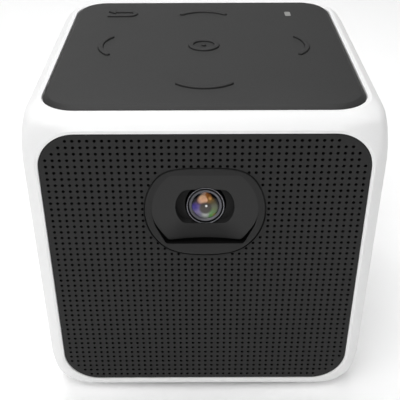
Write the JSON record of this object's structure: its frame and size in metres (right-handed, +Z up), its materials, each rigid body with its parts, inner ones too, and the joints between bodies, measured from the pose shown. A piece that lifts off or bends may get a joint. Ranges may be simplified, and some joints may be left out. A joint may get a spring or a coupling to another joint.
{
  "type": "video projector",
  "caption": "Pocket cube video projector with a white rounded case, perforated black front, lens pod, soft top key pad, side focus wheel, rear sockets, rubber feet and a tripod socket.",
  "frame": {"origin": "on the ground under the centre of the cube", "axes": "+Z up, the lens looks along -Y, +X to the right seen from the front"},
  "size_m": [0.0672, 0.0682, 0.0683],
  "materials": {
    "shell_white": "satin",
    "panel_black": "fine texture",
    "pad_rubber": "soft touch",
    "key_black": "soft touch",
    "clear_guide": "clear",
    "foot_rubber": "matt",
    "brass": "turned",
    "zinc_steel": "zinc plated",
    "frame_grey": "moulded",
    "board_green": "solder mask",
    "switch_steel": "stamped",
    "engine_alloy": "die cast",
    "engine_lid": "matt black",
    "barrel_black": "moulded",
    "lens_glass": "coated",
    "ring_alloy": "anodised",
    "lamp_red": "moulded",
    "lamp_green": "moulded",
    "lamp_blue": "moulded",
    "chip_dark": "moulded",
    "fin_alloy": "extruded",
    "pipe_copper": "drawn copper",
    "cell_wrap": "film wrap",
    "cone_paper": "pressed paper",
    "ir_plastic": "smoked"
  },
  "bodies": {
    "case": {"main_shell": "shell_white", "rear_cover": "shell_white", "base_cover": "shell_white", "front_panel": "panel_black", "lens_shroud": "panel_black", "top_pad": "pad_rubber", "light_guide": "clear_guide", "status_led": "clear_guide", "feet": "foot_rubber", "speaker_gasket": "foot_rubber", "tripod_bush": "brass", "base_screws": "zinc_steel", "rear_screws": "zinc_steel", "key_board_screws": "zinc_steel", "engine_screws": "zinc_steel", "fan_screws": "zinc_steel", "main_board_screws": "zinc_steel", "focus_axle": "zinc_steel", "focus_clip": "zinc_steel", "chassis": "frame_grey", "key_board": "board_green", "main_board": "board_green", "dmd_board": "board_green", "key_switches": "switch_steel", "hdmi_socket": "switch_steel", "usb_socket": "switch_steel", "charge_socket": "switch_steel", "power_switch": "switch_steel", "engine_housing": "engine_alloy", "engine_cover": "engine_lid", "fan_frame": "barrel_black", "audio_jack": "barrel_black", "speaker_frame": "barrel_black", "prism": "lens_glass", "dichroic_plates": "lens_glass", "collimators": "lens_glass", "led_red": "lamp_red", "led_green": "lamp_green", "led_blue": "lamp_blue", "dmd_chip": "chip_dark", "main_chip": "chip_dark", "heat_sink": "fin_alloy", "heat_pipe": "pipe_copper", "battery_pack": "cell_wrap", "speaker_cone": "cone_paper", "ir_window": "ir_plastic"},
    "key_back": {"key_back": "key_black"},
    "key_up": {"key_up": "key_black"},
    "key_left": {"key_left": "key_black"},
    "key_ok": {"key_ok": "key_black"},
    "key_right": {"key_right": "key_black"},
    "key_down": {"key_down": "key_black"},
    "fan": {"fan_rotor": "barrel_black"},
    "wheel": {"focus_wheel": "barrel_black"},
    "ring": {"focus_ring": "barrel_black"},
    "lens": {"lens_barrel": "barrel_black", "front_lens": "lens_glass", "rear_lens": "lens_glass", "lens_ring": "ring_alloy"},
    "knob": {"power_knob": "key_black"}
  },
  "joints": [
    {"name": "key_back_press", "type": "slide", "parent": "case", "child": "key_back", "axis": [0, 0, -1], "range_m": [0, 0.00025], "stiffness_N_per_m": 4000},
    {"name": "key_up_press", "type": "slide", "parent": "case", "child": "key_up", "axis": [0, 0, -1], "range_m": [0, 0.00025], "stiffness_N_per_m": 4000},
    {"name": "key_left_press", "type": "slide", "parent": "case", "child": "key_left", "axis": [0, 0, -1], "range_m": [0, 0.00025], "stiffness_N_per_m": 4000},
    {"name": "key_ok_press", "type": "slide", "parent": "case", "child": "key_ok", "axis": [0, 0, -1], "range_m": [0, 0.00025], "stiffness_N_per_m": 4000},
    {"name": "key_right_press", "type": "slide", "parent": "case", "child": "key_right", "axis": [0, 0, -1], "range_m": [0, 0.00025], "stiffness_N_per_m": 4000},
    {"name": "key_down_press", "type": "slide", "parent": "case", "child": "key_down", "axis": [0, 0, -1], "range_m": [0, 0.00025], "stiffness_N_per_m": 4000},
    {"name": "fan_spin", "type": "hinge", "parent": "case", "child": "fan", "pos_m": [0, 0.0267, 0.0484], "axis": [0, 1, 0], "continuous": true},
    {"name": "focus_turn", "type": "hinge", "parent": "case", "child": "wheel", "pos_m": [0.02165, -0.021, 0.0484], "axis": [0, 1, 0], "range_deg": [-100, 100]},
    {"name": "focus_ring_turn", "type": "hinge", "parent": "case", "child": "ring", "pos_m": [0, -0.021, 0.0484], "axis": [0, 1, 0], "range_deg": [-117, 117]},
    {"name": "lens_focus", "type": "slide", "parent": "case", "child": "lens", "axis": [0, -1, 0], "range_m": [-0.00061, 0.00061]},
    {"name": "power_slide", "type": "slide", "parent": "case", "child": "knob", "axis": [1, 0, 0], "range_m": [0, 0.003]}
  ],
  "couplings": [
    {"joint": "focus_ring_turn", "follows": "focus_turn", "ratio": -1.16},
    {"joint": "lens_focus", "follows": "focus_turn", "m_per_rad": 0.00034}
  ]
}
